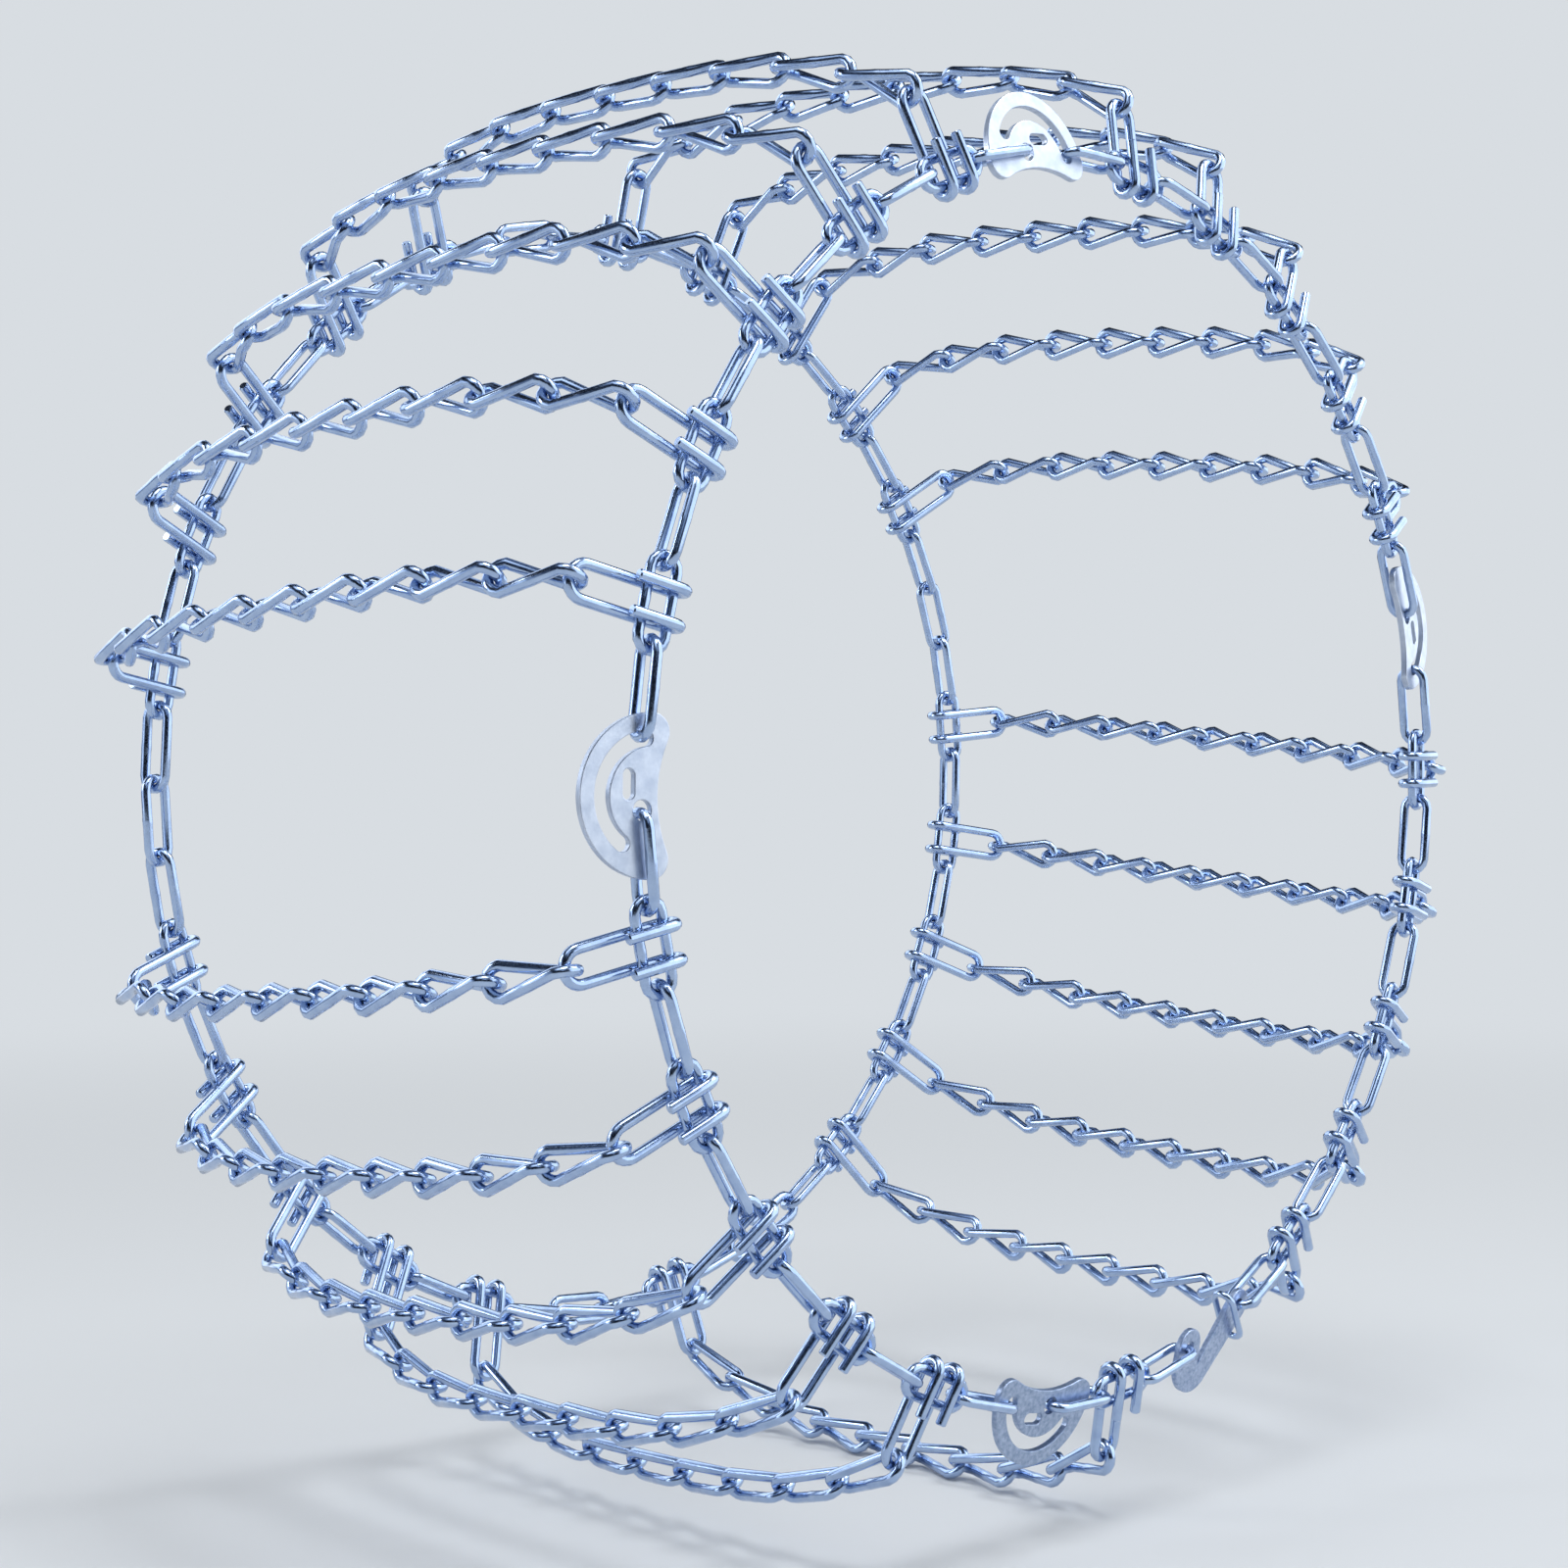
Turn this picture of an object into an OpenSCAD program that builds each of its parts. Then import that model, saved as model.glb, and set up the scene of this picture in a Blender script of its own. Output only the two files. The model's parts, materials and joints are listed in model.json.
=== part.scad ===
// Tire snow chains: a ladder of twisted-link cross chains between an outer and
// an inner side chain, with four cam tighteners and a lever hook fastener on
// the outer one. The net is drawn as it sits on a wheel. The origin is the
// wheel's centre, the axle runs along Y and -Y is the outer side of the wheel.

/* [Net on the wheel] */
// Radius at which the cross chains lie over the middle of the tread
crown_radius = 420; // [380:1:460]
// Turn of the whole net about the axle, in degrees
net_turn = 1; // [-3:0.5:3]
// Angle by which the inner side chain trails the outer one, in degrees
inner_lag = 4.8; // [0:0.2:6]
// Clearance left between wires that hang in each other
link_gap = 0.4; // [0.3:0.05:0.6]

/* [Side chains] */
// Wire of the side chains
side_wire_d = 5.6; // [5:0.1:6.4]
// Room beside a wire inside a side link
side_link_play = 3.8; // [3:0.1:5]
// Lean of the flat side links out of the tread's direction, in degrees
side_lean = 78; // [72:1:84]

/* [Cross chains] */
// Wire of the cross chains
cross_wire_d = 6; // [5.4:0.1:6.6]
// Room beside a wire inside a twisted link
cross_link_play = 4; // [3.4:0.1:5]
// Length of chain that one twisted link adds
cross_pitch = 42.3; // [38:0.1:46]

/* [Cross-chain hooks] */
// Wire of the hooks
hook_wire_d = 6; // [5.4:0.1:6.6]
// Reach of a hook from the middle of its side link to its bend
hook_reach = 46.5; // [42:0.5:52]
// Length of a hook's cut prong past the side link
prong_past_link = 6.5; // [4:0.5:9]
// Free travel of a hook along its side link, to each side
hook_play = 3; // [2.4:0.1:3.6]
// Clearance between a hook and the side link it wraps
hook_seat_gap = 0.3; // [0.25:0.05:0.5]

/* [Cam tighteners] */
// Radius of a cam's round edge
cam_radius = 40; // [36:1:44]
// Thickness of a cam plate
cam_thick = 4; // [3:0.5:5]
// Radius of the middle of the arc slot
cam_slot_radius = 27.8; // [26:0.2:30]
// Width of the arc slot
cam_slot_w = 8.1; // [7.6:0.1:9]
// Angle that the arc slot spans, in degrees
cam_slot_span = 136; // [120:1:142]
// Distance of the cam's middle from the line of the chain, to the hub side
cam_inset = 5.5; // [4:0.5:7]
// Radius of the two lobes of the cam's hub-side edge
cam_lobe_r = 9.6; // [8:0.2:11]
// Depth of the waist between the lobes
cam_waist_depth = 6.5; // [4:0.5:8]
// Round hole for the held link
cam_hole_d = 10; // [9.6:0.1:11]
// Offset of the held link's wire in the round hole
cam_hole_bias = 1; // [0.6:0.1:1.2]
// Width of the tool slot
tool_slot_w = 6.4; // [5:0.2:7]
// Length of the tool slot
tool_slot_len = 15; // [12:0.5:16]

/* [Lever hook] */
// Length of side chain that the lever hook replaces
lever_length = 60; // [56:1:64]
// Thickness of the lever plate
lever_thick = 3.6; // [3:0.2:4.4]
// Radius of the lever's hook eye
lever_eye_r = 11.5; // [11:0.1:13]
// Radius of the lever's round heel
lever_heel_r = 20; // [18:0.5:21]
// Width of the lever's arm
lever_arm_w = 20; // [18:0.5:21]
// Holes of the lever plate
lever_hole_d = 8.4; // [7.8:0.1:9]
// Wire of the keeper ring
keeper_wire_d = 4; // [3.4:0.1:4.6]
// Clearance of the keeper ring round the arm
keeper_clear = 2.5; // [1.5:0.1:3]

/* [Inner fastener] */
// Wire of the inner hook link
inner_hook_wire_d = 6.4; // [5.8:0.1:7]
// Mouth of the inner hook link
inner_hook_mouth = 9; // [7:0.5:11]

/* [Hidden] */
$fn = 72;

// Colours of the zinc-plated wire and of the stamped plates
WIRE_COLOUR = "#a9c0e4";
HOOK_COLOUR = "#b8cbea";
CAM_COLOUR = "#e9edf3";
LEVER_COLOUR = "#b4c2da";

// Places of the items round the outer side chain, counted the way the chains
// follow each other from the top cam over the left one
STATIONS = 26;
CAM_STATIONS = [0, 6, 12, 20];
LEVER_STATION = 14;
TURN_STATION = 6;

// Fall of the twisted links from the middle of the tread to the shoulder, in
// degrees, and the turn of each link about its own length. The end links turn
// until they stand square to the flat hooks.
SHOULDER_TILTS = [1.5, 5, 13, 22];
LINK_ROLLS = [76, 61, 50, 45, 45, 45, 40, 29, 14];
LINK_TWIST = 90;
LAST = len(LINK_ROLLS);
// Lap of a twisted link's straight wires into its bent ends, and how much
// slimmer they are drawn there
KNEE_LAP = 0.8;
KNEE_SLIM = 0.1;
// Lengths that meet face to face are kept to this fraction of a millimetre
LENGTH_GRAIN = 0.001;
// Angle between the corners of a drawn arc, at most
ARC_STEP = 5;

// Room of the cam's arc slot past the sliding link, in degrees, how much wider
// its round ends are drilled than it is, and the middle of the tool slot from
// the middle of the arcs
CAM_SLOT_RUN_IN = 3;
CAM_SLOT_END_MORE = 0.02;
TOOL_SLOT_SHIFT = [5.6, 13];

// The lever plate's heel and notch from its eye, the start of the heel's arc,
// and the part of the eye lobe's circle that stands free
LEVER_HEEL_SHIFT = [-4.8, 11];
LEVER_NOTCH_SHIFT = [-6.8, 16];
LEVER_HEEL_START = -32;
LEVER_EYE_SPAN = [160, 352];

// Place of the keeper ring along the arm, as a share of the way to the heel,
// and its lean across the arm in degrees
KEEPER_SHARE = 0.2;
KEEPER_LEAN = 3;

// Middle of the mouth from the middle of the inner hook link
INNER_MOUTH_SHIFT = 12;

side_link_w = 2 * side_wire_d + side_link_play;
cross_link_w = 2 * cross_wire_d + cross_link_play;
hook_offset = (side_wire_d + hook_wire_d) / 2 + hook_seat_gap;

// A cross chain's joints, in the plane of the axle: [along the axle, radius]
lag_step = inner_lag / LAST;
side_step = 2 * crown_radius * sin(lag_step / 2);
level_pitch = sqrt(cross_pitch * cross_pitch - side_step * side_step);
function half_joint(i) =
    i == 0 ? [level_pitch / 2, crown_radius]
    : half_joint(i - 1)
      + level_pitch * [cos(SHOULDER_TILTS[i - 1]), -sin(SHOULDER_TILTS[i - 1])];
function plane_joint(i) =
    i < LAST / 2
    ? [-half_joint((LAST - 1) / 2 - i)[0], half_joint((LAST - 1) / 2 - i)[1]]
    : half_joint(i - (LAST + 1) / 2);
function joint_lag(i) = lag_step * i;
function joint(i) =
    let (j = plane_joint(i), lag = joint_lag(i))
    [-j[1] * cos(lag), j[0], -j[1] * sin(lag)];

// The ring of side links hangs from the hooks, so its place follows theirs. A
// hook's bend lies in the first twisted link, in line with that link.
flat_dir = [cos(side_lean), sin(side_lean)];
flat_normal = [-sin(side_lean), cos(side_lean)];
hook_bend = plane_joint(0)
    + (hook_wire_d + link_gap) / 2 * unit(plane_joint(1) - plane_joint(0));
ring_place = hook_bend - hook_reach * flat_dir + hook_offset * flat_normal;
ring_side = -ring_place[0];
ring_mid_r = ring_place[1];
lever_angle = 2 * asin(lever_length / 2 / ring_mid_r);
link_angle = (360 - lever_angle) / (2 * STATIONS - 1);
ring_corner_r = ring_mid_r / cos(link_angle / 2);
side_pitch = 2 * ring_corner_r * sin(link_angle / 2);
lever_span = 2 * ring_corner_r * sin(lever_angle / 2);
lever_mid_r = ring_corner_r * cos(lever_angle / 2);
lever_extra = lever_angle - link_angle;

// Angle of a station and of the connecting link that follows it, from the
// wheel's left side upwards
function station_angle(k) =
    net_turn + 2 * link_angle * (TURN_STATION - k)
    - (k == LEVER_STATION ? lever_extra / 2 : 0)
    - (k > LEVER_STATION ? lever_extra : 0);
function connector_angle(k) =
    station_angle(k)
    - (k == LEVER_STATION ? (lever_angle + link_angle) / 2 : link_angle);

// Stations that hold a cross chain, in the order of their names
CHAIN_STATIONS = [
    for (k = [0 : STATIONS - 1])
        if (len(search(k, concat(CAM_STATIONS, [LEVER_STATION]))) == 0) k
];

// Half the gap between the legs of a hook, so that it runs between the ends
// of the connecting links
leg_offset = side_pitch / 2 - side_wire_d - link_gap - hook_wire_d / 2 - hook_play;

// Middle of the wire of a connecting link that ends at a plate
function wire_place(span) = span / 2 - (side_wire_d + link_gap) / 2;

// Room that this wire needs past a plate's wall: its clearance, and the bow of
// the link's round end within the plate's thickness
function wire_room(thick) =
    link_gap + (side_link_w - sqrt(side_link_w * side_link_w - thick * thick)) / 2;

function unit(v) = v / norm(v);

// ---------------------------------------------------------------- placing

// Places children with their X, Y and Z along three given directions
module in_frame(origin, ex, ey, ez) {
    multmatrix([
        [ex[0], ey[0], ez[0], origin[0]],
        [ex[1], ey[1], ez[1], origin[1]],
        [ex[2], ey[2], ez[2], origin[2]],
        [0, 0, 0, 1]
    ])
        children();
}

// Local axes on the side ring: X along the chain, Y over the sidewall towards
// the tread, Z away from the tire
module on_ring(angle, mid_r) {
    rotate([0, angle, 0])
        in_frame(
            [-mid_r, -ring_side, 0],
            [0, 0, 1],
            [-flat_dir[1], flat_dir[0], 0],
            [-flat_normal[1], flat_normal[0], 0]
        )
            children();
}

// The inner side is the outer one's mirror image, turned back by the lag
module on_inner_side() {
    rotate([0, -inner_lag, 0])
        mirror([0, 1, 0])
            children();
}

// ------------------------------------------------------------------ wires

// Straight wire between two points
module wire(a, b, d) {
    v = b - a;
    translate(a)
        rotate([0, acos(v[2] / norm(v)), atan2(v[1], v[0])])
            cylinder(d = d, h = norm(v));
}

// Half turn of wire in the XY plane, bulging towards -X
module half_turn(r, d) {
    rotate_extrude(angle = 180, start = 90)
        translate([r, 0])
            circle(d = d);
}

// Flat oval link along X
module flat_link(pitch, w, d) {
    half = round((pitch + d + link_gap - w) / 2 / LENGTH_GRAIN) * LENGTH_GRAIN;
    for (side = [-1, 1])
        wire([-half, side * w / 2, 0], [half, side * w / 2, 0], d);
    for (end = [0, 180])
        rotate([0, 0, end])
            translate([-half, 0, 0])
                half_turn(w / 2, d);
}

// Twisted link along X, whose second end is turned back by LINK_TWIST from the
// first one
module twisted_link() {
    half = (cross_pitch + cross_wire_d + link_gap - cross_link_w) / 2;
    turns = [90 + LINK_TWIST / 2, 90 - LINK_TWIST / 2];
    ways = [for (turn = turns) cross_link_w / 2 * [0, cos(turn), sin(turn)]];
    for (side = [-1, 1]) {
        a = [-half, 0, 0] + side * ways[0];
        b = [half, 0, 0] + side * ways[1];
        lap = KNEE_LAP * unit(b - a);
        wire(a - lap, b + lap, cross_wire_d - KNEE_SLIM);
    }
    for (i = [0, 1])
        rotate([turns[i], 0, 0])
            rotate([0, 0, 180 * i])
                translate([-half, 0, 0])
                    half_turn(cross_link_w / 2, cross_wire_d);
}

// --------------------------------------------------------------- sub-parts

module side_link() {
    color(WIRE_COLOUR)
        flat_link(side_pitch, side_link_w, side_wire_d);
}

module connector(k) {
    on_ring(connector_angle(k), ring_mid_r)
        rotate([90, 0, 0])
            side_link();
}

module hooked_link(k) {
    on_ring(station_angle(k), ring_mid_r)
        side_link();
}

// Stretch of side chain with links at the stations first to last, and
// connecting links before, between and after them
module side_chain(first, last) {
    for (k = [first - 1 : last])
        connector(k);
    for (k = [first : last])
        hooked_link(k);
}

// Stretch of the inner side chain. It has a plain link where the outer one has
// a cam, and each stretch starts with the connecting link before it.
module inner_chain(first, last) {
    closing = last == LEVER_STATION - 1 ? [last] : [];
    opening = first == 0 ? STATIONS - 1 : first - 1;
    on_inner_side() {
        for (k = concat([opening], [for (k = [first : last - 1]) k], closing))
            connector(k);
        for (k = [first : last])
            hooked_link(k);
    }
}

module cross_chain(name_index) {
    color(WIRE_COLOUR)
        rotate([0, station_angle(CHAIN_STATIONS[name_index - 1]), 0])
            for (i = [0 : LAST - 1]) {
                a = joint(i);
                b = joint(i + 1);
                lag = (joint_lag(i) + joint_lag(i + 1)) / 2;
                ex = unit(b - a);
                ez = unit(cross([-sin(lag), 0, cos(lag)], ex));
                in_frame((a + b) / 2, ex, cross(ez, ex), ez)
                    rotate([90 - LINK_TWIST / 2 - LINK_ROLLS[i], 0, 0])
                        twisted_link();
            }
}

// U of wire whose legs pass behind a side link, wrap its hub-side bar and come
// back over the front
module cross_hook() {
    bar = side_link_w / 2;
    prong_end = bar + side_wire_d / 2 + prong_past_link;
    bend = hook_reach - leg_offset;
    for (side = [-1, 1]) {
        x = side * leg_offset;
        wire([x, -bar, -hook_offset], [x, bend, -hook_offset], hook_wire_d);
        wire([x, -bar, hook_offset], [x, prong_end, hook_offset], hook_wire_d);
        translate([x, -bar, 0])
            rotate([90, 0, 90])
                half_turn(hook_offset, hook_wire_d);
    }
    translate([0, bend, -hook_offset])
        rotate([0, 0, -90])
            half_turn(leg_offset, hook_wire_d);
}

module cross_hooks(name_index) {
    k = CHAIN_STATIONS[name_index - 1];
    color(HOOK_COLOUR) {
        on_ring(station_angle(k), ring_mid_r)
            cross_hook();
        on_inner_side()
            on_ring(station_angle(k), ring_mid_r)
                cross_hook();
    }
}

// Points along an arc about a centre, from one angle to another. An arc that
// goes on from the one before it leaves out its first point.
function arc(c, r, from, to, goes_on = false) =
    let (n = ceil(abs(to - from) / ARC_STEP), step = (to - from) / n)
    [
        for (i = [(goes_on ? 1 : 0) : n])
            c + r * [cos(from + i * step), sin(from + i * step)]
    ];

// Middle of a cam's arcs, such that the sliding link's wire bears on the
// outer wall of the slot
cam_bearing_r = cam_slot_radius + (cam_slot_w - side_wire_d) / 2 - wire_room(cam_thick);
cam_bearing_run = sqrt(cam_bearing_r * cam_bearing_r - cam_inset * cam_inset);
cam_bearing_angle = atan2(cam_inset, cam_bearing_run);
cam_mid = [wire_place(side_pitch) - cam_bearing_run, -cam_inset];

// Outline of a cam plate: the round edge, two lobes and the waist between
module cam_outline() {
    lobe_x = cam_radius - cam_lobe_r;
    edge_y = cam_mid[1];
    waist_y = edge_y - cam_lobe_r + cam_waist_depth;
    // Radius of the waist that touches both lobes from outside
    drop = edge_y - waist_y;
    waist_r = (lobe_x * lobe_x + drop * drop - cam_lobe_r * cam_lobe_r)
        / (2 * (cam_lobe_r - drop));
    waist_c = [cam_mid[0], waist_y - waist_r];
    lean = atan2(lobe_x, edge_y - waist_c[1]);
    polygon(concat(
        arc(cam_mid, cam_radius, 0, 180, goes_on = true),
        arc(cam_mid - [lobe_x, 0], cam_lobe_r, 180, 270 + lean, goes_on = true),
        arc(waist_c, waist_r, 90 + lean, 90 - lean, goes_on = true),
        arc(cam_mid + [lobe_x, 0], cam_lobe_r, 270 - lean, 360, goes_on = true)
    ));
}

module slot_end(angle, h) {
    end = cam_mid + cam_slot_radius * [cos(angle), sin(angle)];
    translate([end[0], end[1], -h / 2])
        cylinder(d = cam_slot_w + CAM_SLOT_END_MORE, h = h);
}

module cam_plate() {
    cut = 2 * cam_thick;
    first = cam_bearing_angle - CAM_SLOT_RUN_IN;
    difference() {
        translate([0, 0, -cam_thick / 2])
            linear_extrude(cam_thick)
                cam_outline();
        translate([cam_mid[0], cam_mid[1], 0])
            rotate_extrude(angle = cam_slot_span, start = first)
                translate([cam_slot_radius - cam_slot_w / 2, -cut / 2])
                    square([cam_slot_w, cut]);
        slot_end(first, cut);
        slot_end(first + cam_slot_span, cut);
        translate([cam_hole_bias - wire_place(side_pitch), 0, -cut / 2])
            cylinder(d = cam_hole_d, h = cut);
        translate([cam_mid[0] + TOOL_SLOT_SHIFT[0], cam_mid[1] + TOOL_SLOT_SHIFT[1], 0])
            tool_slot(cut);
    }
}

module tool_slot(h) {
    reach = (tool_slot_len - tool_slot_w) / 2;
    translate([-reach, -tool_slot_w / 2, -h / 2])
        cube([2 * reach, tool_slot_w, h]);
    for (x = [-reach, reach])
        translate([x, 0, -h / 2])
            cylinder(d = tool_slot_w, h = h);
}

module cam(k) {
    color(CAM_COLOUR)
        on_ring(station_angle(k), ring_mid_r)
            cam_plate();
}

// Places on the lever plate, with the eye on the link before it in the ring
// and the arm's end on the link after it
lever_bias = (lever_hole_d - side_wire_d) / 2 - wire_room(lever_thick);
lever_eye = [wire_place(lever_span) - lever_bias, 0];
lever_arm_end = -lever_eye;
lever_heel = lever_eye + LEVER_HEEL_SHIFT;
lever_notch = lever_eye + LEVER_NOTCH_SHIFT;

// Outline: round heel, arm with a round end, notch and the eye's lobe
module lever_outline() {
    half = lever_arm_w / 2;
    to_heel = lever_heel - lever_arm_end;
    to_notch = lever_notch - lever_arm_end;
    outer_edge = 90 + atan2(to_heel[1], to_heel[0]) + asin((lever_heel_r - half) / norm(to_heel));
    inner_edge = atan2(to_notch[1], to_notch[0]) - acos(half / norm(to_notch));
    polygon(concat(
        arc(lever_heel, lever_heel_r, LEVER_HEEL_START, outer_edge),
        arc(lever_arm_end, half, outer_edge, 360 + inner_edge),
        [lever_notch],
        arc(lever_eye, lever_eye_r, LEVER_EYE_SPAN[0], LEVER_EYE_SPAN[1])
    ));
}

module lever_hook() {
    color(LEVER_COLOUR)
        on_ring(station_angle(LEVER_STATION), lever_mid_r)
            difference() {
                translate([0, 0, -lever_thick / 2])
                    linear_extrude(lever_thick)
                        lever_outline();
                for (hole = [lever_eye, lever_arm_end])
                    translate([hole[0], hole[1], -lever_thick])
                        cylinder(d = lever_hole_d, h = 2 * lever_thick);
            }
}

// Oval ring that lies loosely round the lever's arm
module keeper_ring() {
    run = lever_heel - lever_arm_end;
    middle = lever_arm_end + KEEPER_SHARE * run;
    width = lever_arm_w + KEEPER_SHARE * (2 * lever_heel_r - lever_arm_w);
    w = lever_thick + 2 * keeper_clear + keeper_wire_d;
    color(HOOK_COLOUR)
        on_ring(station_angle(LEVER_STATION), lever_mid_r)
            translate([middle[0], middle[1], 0])
                rotate([0, 0, atan2(run[1], run[0]) + KEEPER_LEAN])
                    rotate([0, 90, 0])
                        rotate([0, 0, 90])
                            flat_link(width + w - keeper_wire_d - link_gap, w, keeper_wire_d);
}

// Long link with a mouth in its hub-side bar, on the inner side chain
module inner_hook() {
    w = inner_hook_wire_d + side_wire_d + side_link_play;
    cut = 2 * inner_hook_wire_d;
    color(HOOK_COLOUR)
        on_inner_side()
            on_ring(station_angle(LEVER_STATION), lever_mid_r)
                difference() {
                    flat_link(lever_span, w, inner_hook_wire_d);
                    translate([INNER_MOUTH_SHIFT, -w / 2, 0])
                        cube([inner_hook_mouth, cut, cut], center = true);
                }
}

side_chain(1, 5);  // outer_side_chain_1
side_chain(7, 11);  // outer_side_chain_2
side_chain(13, 13);  // outer_side_chain_3
side_chain(15, 19);  // outer_side_chain_4
side_chain(21, 25);  // outer_side_chain_5
inner_chain(0, 5);  // inner_side_chain_1
inner_chain(6, 11);  // inner_side_chain_2
inner_chain(12, 13);  // inner_side_chain_3
inner_chain(15, 19);  // inner_side_chain_4
inner_chain(20, 25);  // inner_side_chain_5
inner_hook();
cam(0);  // cam_top
cam(6);  // cam_left
cam(12);  // cam_bottom
cam(20);  // cam_right
lever_hook();
keeper_ring();
cross_chain(1);  // cross_chain_01
cross_chain(2);  // cross_chain_02
cross_chain(3);  // cross_chain_03
cross_chain(4);  // cross_chain_04
cross_chain(5);  // cross_chain_05
cross_chain(6);  // cross_chain_06
cross_chain(7);  // cross_chain_07
cross_chain(8);  // cross_chain_08
cross_chain(9);  // cross_chain_09
cross_chain(10);  // cross_chain_10
cross_chain(11);  // cross_chain_11
cross_chain(12);  // cross_chain_12
cross_chain(13);  // cross_chain_13
cross_chain(14);  // cross_chain_14
cross_chain(15);  // cross_chain_15
cross_chain(16);  // cross_chain_16
cross_chain(17);  // cross_chain_17
cross_chain(18);  // cross_chain_18
cross_chain(19);  // cross_chain_19
cross_chain(20);  // cross_chain_20
cross_chain(21);  // cross_chain_21
cross_hooks(1);  // cross_hooks_01
cross_hooks(2);  // cross_hooks_02
cross_hooks(3);  // cross_hooks_03
cross_hooks(4);  // cross_hooks_04
cross_hooks(5);  // cross_hooks_05
cross_hooks(6);  // cross_hooks_06
cross_hooks(7);  // cross_hooks_07
cross_hooks(8);  // cross_hooks_08
cross_hooks(9);  // cross_hooks_09
cross_hooks(10);  // cross_hooks_10
cross_hooks(11);  // cross_hooks_11
cross_hooks(12);  // cross_hooks_12
cross_hooks(13);  // cross_hooks_13
cross_hooks(14);  // cross_hooks_14
cross_hooks(15);  // cross_hooks_15
cross_hooks(16);  // cross_hooks_16
cross_hooks(17);  // cross_hooks_17
cross_hooks(18);  // cross_hooks_18
cross_hooks(19);  // cross_hooks_19
cross_hooks(20);  // cross_hooks_20
cross_hooks(21);  // cross_hooks_21
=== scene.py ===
"""Looks of a ladder snow chain net, drawn as it sits on a truck wheel.

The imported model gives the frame. The links, hooks and plates are drawn here again
with bent, drawn and stamped detail, each in the place of its own solid.
"""

from __future__ import annotations

import json
import logging
import math
from dataclasses import dataclass, field
from enum import Enum
from typing import Any, Iterable, Sequence

import bmesh
import bpy
from mathutils import Matrix, Quaternion, Vector

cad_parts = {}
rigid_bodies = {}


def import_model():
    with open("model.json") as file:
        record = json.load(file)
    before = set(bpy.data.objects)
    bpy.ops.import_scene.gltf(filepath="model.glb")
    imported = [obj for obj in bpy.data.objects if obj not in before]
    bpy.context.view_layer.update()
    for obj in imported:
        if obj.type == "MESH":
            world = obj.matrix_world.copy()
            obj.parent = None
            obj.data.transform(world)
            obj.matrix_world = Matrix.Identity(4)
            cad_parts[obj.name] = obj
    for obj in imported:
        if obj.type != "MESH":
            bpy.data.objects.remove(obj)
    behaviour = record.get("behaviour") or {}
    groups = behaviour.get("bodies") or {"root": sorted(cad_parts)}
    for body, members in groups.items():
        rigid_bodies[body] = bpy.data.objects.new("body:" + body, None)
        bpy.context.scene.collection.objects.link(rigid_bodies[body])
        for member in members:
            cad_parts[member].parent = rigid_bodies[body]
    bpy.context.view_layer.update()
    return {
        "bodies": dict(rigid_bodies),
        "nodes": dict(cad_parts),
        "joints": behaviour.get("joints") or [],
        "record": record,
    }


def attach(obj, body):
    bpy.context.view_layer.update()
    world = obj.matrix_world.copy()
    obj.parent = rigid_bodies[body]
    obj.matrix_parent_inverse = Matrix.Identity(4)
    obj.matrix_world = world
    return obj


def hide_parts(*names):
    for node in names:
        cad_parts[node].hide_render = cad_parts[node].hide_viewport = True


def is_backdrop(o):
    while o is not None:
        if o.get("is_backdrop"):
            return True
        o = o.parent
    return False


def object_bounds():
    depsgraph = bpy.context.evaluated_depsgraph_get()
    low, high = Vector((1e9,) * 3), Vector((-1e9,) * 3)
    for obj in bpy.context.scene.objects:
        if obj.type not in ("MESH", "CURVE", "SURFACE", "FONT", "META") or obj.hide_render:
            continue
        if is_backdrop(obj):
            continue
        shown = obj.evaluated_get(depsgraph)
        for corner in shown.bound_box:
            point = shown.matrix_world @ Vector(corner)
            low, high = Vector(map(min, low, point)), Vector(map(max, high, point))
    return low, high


LOG = logging.getLogger("snow_chains")
MM = 0.001

NodeInputs = dict[str, Any]


# ------------------------------------------------------------------ colours


def linear(code: str) -> tuple[float, float, float, float]:
    """Turns an sRGB hex colour into Blender's linear values.

    Args:
        code: Colour as "#rrggbb".

    Returns:
        Red, green, blue and alpha, linear.
    """
    parts = [int(code[i : i + 2], 16) / 255 for i in (1, 3, 5)]
    values = [p / 12.92 if p <= 0.04045 else ((p + 0.055) / 1.055) ** 2.4 for p in parts]
    return (values[0], values[1], values[2], 1.0)


def add_node(
    tree: bpy.types.NodeTree, kind: str, inputs: NodeInputs | None = None, **settings: Any
) -> bpy.types.Node:
    """Adds a shader node with its settings, values and links.

    Args:
        tree: Node tree to add to.
        kind: Blender's identifier of the node.
        inputs: Values or output sockets by the input's name or number.
        **settings: Attributes of the node.

    Returns:
        The new node.
    """
    node = tree.nodes.new(kind)
    for name, value in settings.items():
        setattr(node, name, value)
    for key, value in (inputs or {}).items():
        socket = node.inputs[key]
        if isinstance(value, bpy.types.NodeSocket):
            tree.links.new(value, socket)
        else:
            socket.default_value = value
    return node


def add_ramp(
    tree: bpy.types.NodeTree, factor: bpy.types.NodeSocket, stops: Sequence[tuple[float, str]]
) -> bpy.types.NodeSocket:
    """Adds a colour ramp and returns its colour output.

    Args:
        tree: Node tree to add to.
        factor: Socket that drives the ramp.
        stops: Places and sRGB hex colours, from low to high.

    Returns:
        The colour output.
    """
    node = add_node(tree, "ShaderNodeValToRGB", {"Fac": factor})
    elements = node.color_ramp.elements
    while len(elements) < len(stops):
        elements.new(0.5)
    for element, (place, code) in zip(elements, stops):
        element.position = place
        element.color = linear(code)
    return node.outputs["Color"]


# ----------------------------------------------------------------- finishes


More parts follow.
